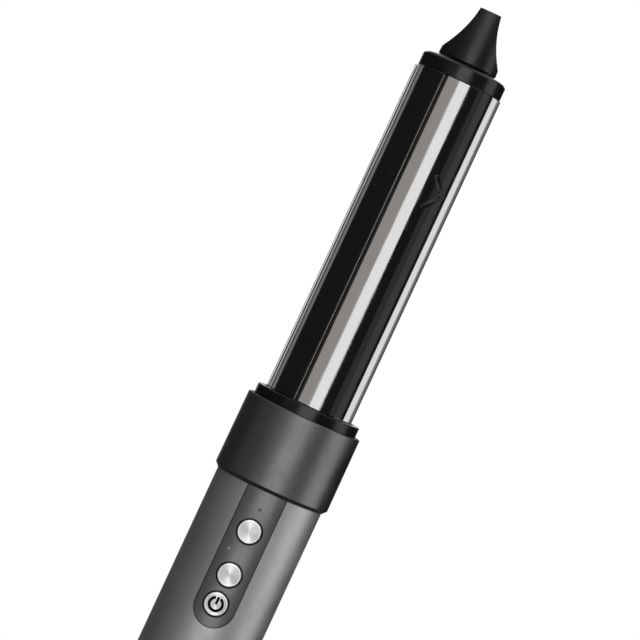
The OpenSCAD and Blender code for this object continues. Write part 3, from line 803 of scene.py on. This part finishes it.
def finish(name, colour, metallic=0.0, rough=(0.35, 0.45), grain=1500.0, spread=0.05, bump=0.00002,
           wear=None, wear_share=0.5, stretch=None, marks=60.0, **plain):
    material, tree, shader, place = start_material(name)
    if stretch:
        wide = add(tree, "VectorMath", {"operation": "MULTIPLY"}, i0=place, i1=stretch)
        fine = group_node(tree, LINES, Vector=wide.outputs[0], Spread=spread)
    else:
        fine = group_node(tree, GRAIN, Vector=place, Scale=grain, Spread=spread)
    base = tint(tree, colour, fine.outputs["Shade"])
    if wear:
        worn = group_node(tree, WEAR, Vector=place, Amount=wear_share)
        mixed = add(tree, "Mix", {"data_type": "RGBA"}, Factor=worn.outputs["Mask"], A=base, B=(*wear, 1))
        base = mixed.outputs["Result"]
    tree.links.new(base, shader.inputs["Base Color"])
    drift = group_node(tree, MARKS, Vector=place, Scale=marks, Low=rough[0], High=rough[1])
    tree.links.new(drift.outputs["Roughness"], shader.inputs["Roughness"])
    relief = add(tree, "Bump", Height=fine.outputs["Height"], Distance=bump, Strength=0.6)
    tree.links.new(relief.outputs[0], shader.inputs["Normal"])
    shader.inputs["Metallic"].default_value = metallic
    for label, value in plain.items():
        shader.inputs[label.replace("_", " ")].default_value = value
    return material


FINISHES = {
    "handle_paint": finish("handle_paint", (0.45, 0.455, 0.46), 1.0, (0.46, 0.52), 2600.0, 0.10, 0.00001,
                           (0.34, 0.34, 0.34), 0.35),
    "strip_paint": finish("strip_paint", (0.145, 0.147, 0.151), 1.0, (0.34, 0.40), 2600.0, 0.09, 0.00001,
                          (0.22, 0.22, 0.22), 0.25),
    "collar_paint": finish("collar_paint", (0.145, 0.147, 0.151), 1.0, (0.34, 0.40), 2600.0, 0.09, 0.00001,
                           (0.42, 0.42, 0.42), 0.5),
    "black_gloss": finish("black_gloss", (0.004, 0.004, 0.0042), 0.0, (0.20, 0.27), 1800.0, 0.12, 0.000008,
                          (0.05, 0.05, 0.05), 0.25),
    "tip_plastic": finish("tip_plastic", (0.006, 0.006, 0.0062), 0.0, (0.30, 0.38), 2200.0, 0.15, 0.000015,
                          (0.05, 0.05, 0.05), 0.3),
    "black_plastic": finish("black_plastic", (0.012, 0.012, 0.013), 0.0, (0.42, 0.55), 1600.0, 0.15, 0.00003,
                            (0.05, 0.05, 0.05), 0.3),
    "chassis_plastic": finish("chassis_plastic", (0.022, 0.022, 0.025), 0.0, (0.5, 0.62), 1200.0, 0.15,
                              0.00004),
    "steel": finish("steel", (0.52, 0.52, 0.53), 1.0, (0.24, 0.36), spread=0.08, bump=0.000008,
                    stretch=(2500.0, 2500.0, 180.0)),
    "seal_rubber": finish("seal_rubber", (0.030, 0.028, 0.027), 0.0, (0.5, 0.6), 1500.0, 0.08, 0.00002),
    "mount_rubber": finish("mount_rubber", (0.018, 0.018, 0.018), 0.0, (0.65, 0.8), 900.0, 0.15, 0.00005),
    "mica": finish("mica", (0.36, 0.29, 0.18), 0.0, (0.25, 0.6), 500.0, 0.35, 0.00003, marks=300.0),
    "coil_wire": finish("coil_wire", (0.17, 0.155, 0.15), 0.9, (0.35, 0.55), spread=0.25, bump=0.000008,
                        stretch=(900.0, 900.0, 900.0), marks=400.0),
    "ceramic": finish("ceramic", (0.72, 0.70, 0.63), 0.0, (0.55, 0.7), 1400.0, 0.06, 0.00003),
    "copper": finish("copper", (0.62, 0.24, 0.09), 1.0, (0.22, 0.34), spread=0.15, bump=0.00004,
                     stretch=(400.0, 400.0, 5200.0)),
    "motor_metal": finish("motor_metal", (0.42, 0.42, 0.44), 1.0, (0.35, 0.5), 1800.0, 0.10, 0.00003),
    "magnet": finish("magnet", (0.10, 0.10, 0.11), 0.9, (0.35, 0.5), spread=0.10, bump=0.00001,
                     stretch=(300.0, 300.0, 4200.0)),
    "can_sleeve": finish("can_sleeve", (0.012, 0.045, 0.16), 0.0, (0.25, 0.35), 1200.0, 0.06, 0.00001),
    "wire_jacket": finish("wire_jacket", (0.30, 0.02, 0.015), 0.0, (0.35, 0.45), 1400.0, 0.08, 0.00001),
    "cage_metal": finish("cage_metal", (0.19, 0.19, 0.195), 0.85, (0.34, 0.42), 2600.0, 0.10, 0.00001,
                         (0.40, 0.40, 0.40), 0.6),
}
print("ordinary finishes", len(FINISHES))

# %% [markdown]
# ### The polished vanes
# The vanes are bright metal, rolled along their length, so the faintest lines run up them. The lines are
# drawn in the roll's own directions, angle and height, so that they follow the curve on all five.

# %% Polish the vanes
def polish_vane():
    material, tree, shader, place = start_material("polished_vane")
    split = add(tree, "SeparateXYZ", Vector=place)
    bearing = add(tree, "Math", {"operation": "ARCTAN2"}, i0=split.outputs["Y"], i1=split.outputs["X"])
    along = add(tree, "Math", {"operation": "MULTIPLY"}, i0=split.outputs["Z"], i1=14.0)
    around = add(tree, "Math", {"operation": "MULTIPLY"}, i0=bearing.outputs[0], i1=60.0)
    rolled = add(tree, "CombineXYZ", X=around.outputs[0], Y=along.outputs[0])
    lines = group_node(tree, LINES, Vector=rolled.outputs[0], Spread=0.05)
    base = tint(tree, (0.605, 0.605, 0.61), lines.outputs["Shade"])
    tree.links.new(base, shader.inputs["Base Color"])
    drift = group_node(tree, MARKS, Vector=place, Scale=90.0, Low=0.055, High=0.10)
    tree.links.new(drift.outputs["Roughness"], shader.inputs["Roughness"])
    relief = add(tree, "Bump", Height=lines.outputs["Height"], Distance=0.000015, Strength=0.5)
    tree.links.new(relief.outputs[0], shader.inputs["Normal"])
    shader.inputs["Metallic"].default_value = 1.0
    return material


FINISHES["polished_vane"] = polish_vane()

# %% [markdown]
# ### The spun buttons
# A lathe tool leaves rings round each button's centre, and rings stretch a highlight across them into two
# bright fans. The shader does that with anisotropy along a tangent that runs round the button, and fine
# rings in the bump and the colour give the fans their threads. Past the step, the rim's colour is painted
# brighter, as a painted highlight for the light that its bevel catches.

# %% Spin the button metal
RIM_FROM, RIM_TO = 3.40 * MM, 3.52 * MM


def spin_metal(name, height):
    material, tree, shader, place = start_material(name)
    centred = add(tree, "Mapping", Vector=place, Location=(0, 0, -height))
    flat = add(tree, "VectorMath", {"operation": "MULTIPLY"}, i0=centred.outputs[0], i1=(1, 0, 1))
    reach = add(tree, "VectorMath", {"operation": "LENGTH"}, i0=flat.outputs[0])
    rings = add(tree, "CombineXYZ", X=reach.outputs["Value"])
    dense = add(tree, "VectorMath", {"operation": "SCALE"}, i0=rings.outputs[0], Scale=9000.0)
    lines = group_node(tree, LINES, Vector=dense.outputs[0], Spread=0.10)
    # Painted highlight: past the step the rim gets a brighter colour, standing in for light caught by its
    # bevel
    rim_highlight = add(tree, "MapRange", Value=reach.outputs["Value"], From_Min=RIM_FROM, From_Max=RIM_TO,
              To_Min=0.50, To_Max=0.74)
    base = tint(tree, (1.0, 1.0, 1.01), lines.outputs["Shade"], rim_highlight.outputs[0])
    tree.links.new(base, shader.inputs["Base Color"])
    drift = group_node(tree, MARKS, Vector=place, Scale=300.0, Low=0.50, High=0.55)
    tree.links.new(drift.outputs["Roughness"], shader.inputs["Roughness"])
    relief = add(tree, "Bump", Height=lines.outputs["Height"], Distance=0.000006, Strength=0.5)
    tree.links.new(relief.outputs[0], shader.inputs["Normal"])
    round_it = add(tree, "Tangent", {"direction_type": "RADIAL", "axis": "Y"})
    tree.links.new(round_it.outputs[0], shader.inputs["Tangent"])
    shader.inputs["Anisotropic"].default_value = 0.9
    shader.inputs["Anisotropic Rotation"].default_value = 0.25
    shader.inputs["Metallic"].default_value = 1.0
    return material


SPUN = {name: spin_metal(name + "_spun_metal", height) for name, height in BUTTONS.items()}

# %% [markdown]
# ### The lamps and the boards
# Three tiny lamps share one part. All are dark grey: the low one is the lightest, the middle one the darkest
# and the side one between, so the lens finish picks its tone by place. Boards get a green mask with faint
# darker tracks.

# %% Finish lenses and boards
# Below this height a lens takes the lightest tone, and right of this line a high one takes the middle tone
PALE_BELOW, FAINT_BEYOND = 0.214, 0.002


def frost_lenses():
    material, tree, shader, place = start_material("lens_plastic")
    split = add(tree, "SeparateXYZ", Vector=place)
    pale = add(tree, "Math", {"operation": "LESS_THAN"}, i0=split.outputs["Z"], i1=PALE_BELOW)
    faint = add(tree, "Math", {"operation": "GREATER_THAN"}, i0=split.outputs["X"], i1=FAINT_BEYOND)
    speck = group_node(tree, GRAIN, Vector=place, Scale=2500.0, Spread=0.08)
    dark_or_faint = add(tree, "Mix", {"data_type": "RGBA"}, Factor=faint.outputs[0],
                        A=(0.030, 0.030, 0.030, 1), B=(0.075, 0.075, 0.078, 1))
    all_three = add(tree, "Mix", {"data_type": "RGBA"}, Factor=pale.outputs[0],
                    A=dark_or_faint.outputs["Result"], B=(0.11, 0.11, 0.11, 1))
    shaded = add(tree, "VectorMath", {"operation": "SCALE"}, i0=all_three.outputs["Result"],
                 Scale=speck.outputs["Shade"])
    tree.links.new(shaded.outputs[0], shader.inputs["Base Color"])
    drift = group_node(tree, MARKS, Vector=place, Scale=900.0, Low=0.30, High=0.42)
    tree.links.new(drift.outputs["Roughness"], shader.inputs["Roughness"])
    relief = add(tree, "Bump", Height=speck.outputs["Height"], Distance=0.00001, Strength=0.5)
    tree.links.new(relief.outputs[0], shader.inputs["Normal"])
    return material


def mask_board():
    material, tree, shader, place = start_material("board_green")
    cells = add(tree, "TexVoronoi", {"feature": "DISTANCE_TO_EDGE", "distance": "CHEBYCHEV"}, Vector=place,
                Scale=320.0)
    track = add(tree, "MapRange", Value=cells.outputs["Distance"], From_Min=0.05, From_Max=0.09)
    mask = add(tree, "Mix", {"data_type": "RGBA"}, Factor=track.outputs[0], A=(0.012, 0.10, 0.045, 1),
               B=(0.02, 0.16, 0.07, 1))
    tree.links.new(mask.outputs["Result"], shader.inputs["Base Color"])
    drift = group_node(tree, MARKS, Vector=place, Scale=200.0, Low=0.25, High=0.4)
    tree.links.new(drift.outputs["Roughness"], shader.inputs["Roughness"])
    relief = add(tree, "Bump", Height=track.outputs[0], Distance=0.00003, Strength=0.4)
    tree.links.new(relief.outputs[0], shader.inputs["Normal"])
    return material


FINISHES["lens_plastic"] = frost_lenses()
FINISHES["board_green"] = mask_board()

# %% [markdown]
# ## Dress every piece
# The new pieces take the finish of their slot and the lights of their kind. The bezels and the power sign
# get no card at all, so that they stay deep black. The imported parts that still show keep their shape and
# get the finish that the record names for them.

# %% Assign the finishes
def dress(piece, material):
    piece.data.materials.clear()
    piece.data.materials.append(material)


LIT = {"polished_vane": polished, "button_metal": spun, "black_gloss": blacks, "tip_plastic": blacks}
DEEP_BLACK = ("button_rings", "power_sign")
for piece in [*frame["nodes"].values(), floor]:
    painted.objects.link(piece)
for piece, slot in PIECES:
    if piece.name not in DEEP_BLACK:
        LIT.get(slot, painted).objects.link(piece)
    button = piece.name.removesuffix("_cap")
    dress(piece, SPUN[button] if button in SPUN else FINISHES[slot])
slots = {part["node"]: part["material_slot"] for part in frame["record"]["subparts"]}
for node, piece in frame["nodes"].items():
    if not piece.hide_render:
        dress(piece, FINISHES[slots[node]])
print("pieces", len(PIECES), "packed parts shown", sum(not p.hide_render for p in frame["nodes"].values()))

# %% [markdown]
# ## Finish
# Nothing is left selected, and the scene is brought up to date. The visual model has to
# stay inside the imported one.

# %% Let go and finish
let_go()
bpy.context.view_layer.update()
